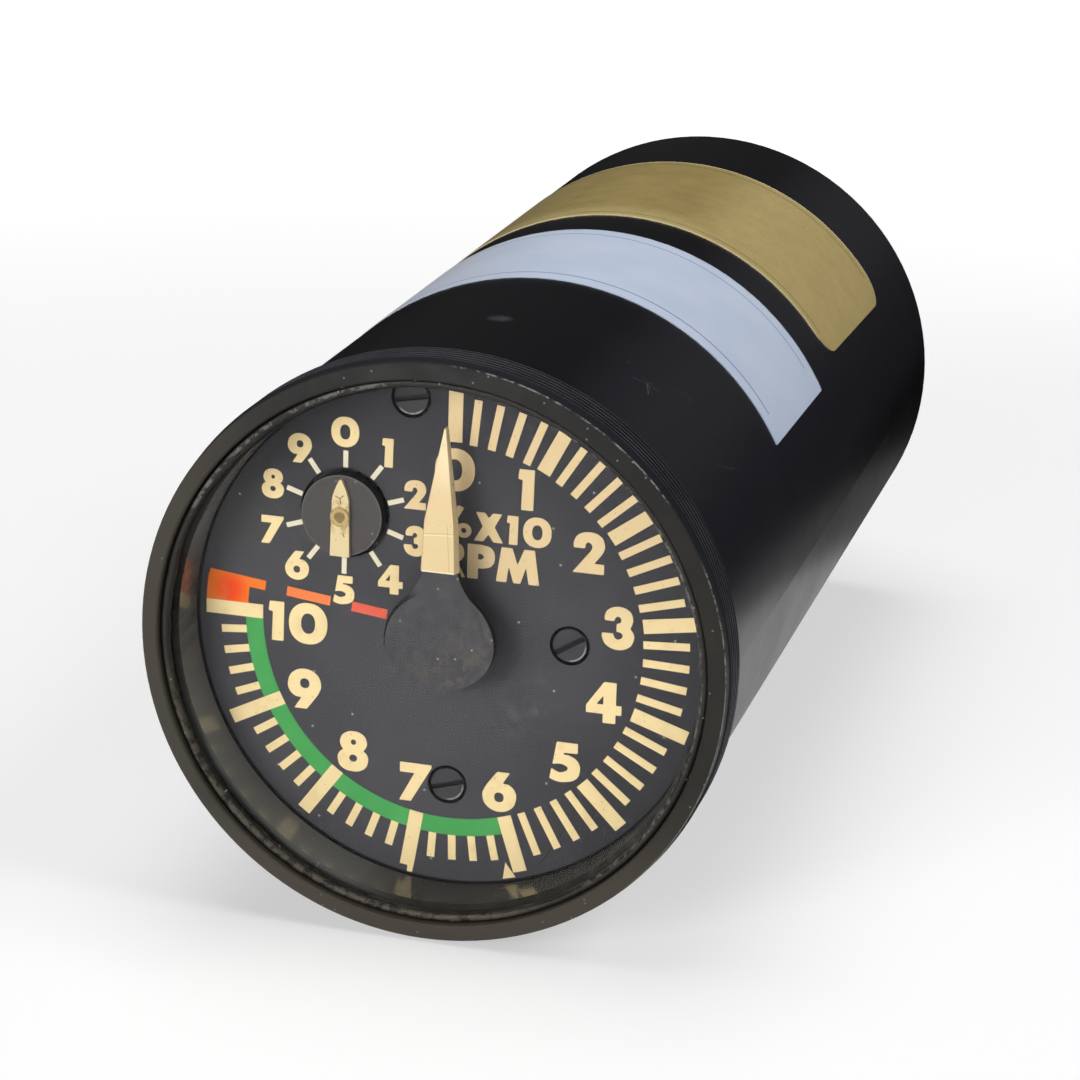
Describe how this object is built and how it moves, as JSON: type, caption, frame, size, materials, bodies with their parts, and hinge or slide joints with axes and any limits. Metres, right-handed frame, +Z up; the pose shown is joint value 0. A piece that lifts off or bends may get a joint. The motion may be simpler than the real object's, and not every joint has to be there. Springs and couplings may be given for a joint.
{
  "type": "turbine tachometer indicator",
  "caption": "Long round clamp-mounted aircraft speed indicator with a percent scale, a units dial, a geared magnetic-drag movement and a rear connector.",
  "frame": {"origin": "on the case axis, at the back face of the bezel ring, where it meets the panel", "axes": "+X to the right of the dial, +Z up towards the zero mark, +Y from the dial to the rear connector along the case axis"},
  "size_m": [0.0524, 0.122, 0.0524],
  "materials": {
    "black_case": "semi-matt black finish on aluminium, lightly scuffed",
    "bezel_black": "worn black anodised aluminium, brown at the edges",
    "glass": "clear flat cover glass with dust specks",
    "sealant": "glossy black sealant, uneven",
    "mask_black": "glossy black inner wall",
    "dial_grey": "matt dark grey dial paint",
    "cream_paint": "aged cream luminous paint",
    "green_paint": "matt green paint",
    "red_paint": "matt orange-red paint",
    "black_screw": "blackened steel",
    "pointer_black": "matt black paint",
    "plate_alu": "machined, satin",
    "brass": "satin",
    "jewel": "polished synthetic ruby",
    "steel": "ground",
    "spring_blue": "blued spring strip",
    "magnet_steel": "ground magnet alloy",
    "laminations": "stacked steel laminations",
    "copper": "enamelled copper windings",
    "lead_insulation": "white sleeving",
    "cover_black": "semi-matt black",
    "connector_olive": "olive drab plated aluminium",
    "insert_black": "moulded insulator",
    "contact_gold": "gold-plated contacts"
  },
  "bodies": {
    "case": {"case_tube": "black_case", "bezel_ring": "bezel_black", "lens": "glass", "lens_sealant": "sealant", "mask_ring": "mask_black", "dial_plate": "dial_grey", "scale_ticks": "cream_paint", "green_arc": "green_paint", "red_limit_marks": "red_paint", "dial_screws": "black_screw", "front_plate": "plate_alu", "rear_plate": "plate_alu", "plate_pillars": "brass", "jewel_bearings": "jewel", "stop_pins": "steel", "hairspring_stud": "brass", "motor_pillars": "steel", "motor_front_bell": "plate_alu", "motor_housing": "plate_alu", "motor_rear_bell": "plate_alu", "stator_core": "laminations", "stator_coils": "copper", "bearing_outer_rings": "steel", "lead_wires": "lead_insulation", "rear_pillars": "steel", "rear_cover": "cover_black", "rear_cover_screws": "steel", "connector_shell": "connector_olive", "connector_insert": "insert_black", "contact_pins": "contact_gold", "connector_screws": "steel"},
    "main_pointer": {"pointer_blade": "cream_paint", "pointer_hub": "pointer_black", "main_arbor": "steel", "main_gear": "brass", "gear_stop_pin": "steel", "drag_disc": "plate_alu", "hairspring_collet": "brass", "hairspring": "spring_blue"},
    "idler": {"idler_arbor": "steel", "idler_pinion": "steel", "idler_wheel": "brass"},
    "units_hand": {"units_arbor": "steel", "units_pinion": "steel", "units_disc": "pointer_black", "units_pointer": "cream_paint", "units_boss": "brass"},
    "rotor": {"rotor_shaft": "steel", "magnet_back_plate": "magnet_steel", "magnet_front_plate": "magnet_steel", "drag_magnets": "magnet_steel", "magnet_spacers": "brass", "rotor_magnet": "magnet_steel", "hysteresis_ring": "magnet_steel", "bearing_inner_rings": "steel"},
    "ball_sets": {"bearing_balls": "steel", "bearing_cages": "brass"}
  },
  "joints": [
    {"name": "pointer_turn", "type": "hinge", "parent": "case", "child": "main_pointer", "pos_m": [0, 0, 0], "axis": [0, 1, 0], "range_deg": [0, 297], "stiffness_Nm_per_rad": 0.0001, "springref_deg": -22.92, "deforming": ["hairspring"]},
    {"name": "idler_turn", "type": "hinge", "parent": "case", "child": "idler", "pos_m": [-0.01248, 0, 0.00063], "axis": [0, 1, 0], "range_deg": [-1189, 0]},
    {"name": "units_turn", "type": "hinge", "parent": "case", "child": "units_hand", "pos_m": [-0.0098, 0, 0.01], "axis": [0, 1, 0], "range_deg": [0, 3961]},
    {"name": "rotor_spin", "type": "hinge", "parent": "case", "child": "rotor", "pos_m": [0, 0.06, 0], "axis": [0, 1, 0], "continuous": true},
    {"name": "ball_spin", "type": "hinge", "parent": "case", "child": "ball_sets", "pos_m": [0, 0.06, 0], "axis": [0, 1, 0], "continuous": true}
  ],
  "couplings": [
    {"joint": "idler_turn", "follows": "pointer_turn", "ratio": -4},
    {"joint": "units_turn", "follows": "pointer_turn", "ratio": 13.333},
    {"joint": "ball_spin", "follows": "rotor_spin", "ratio": 0.3706}
  ]
}
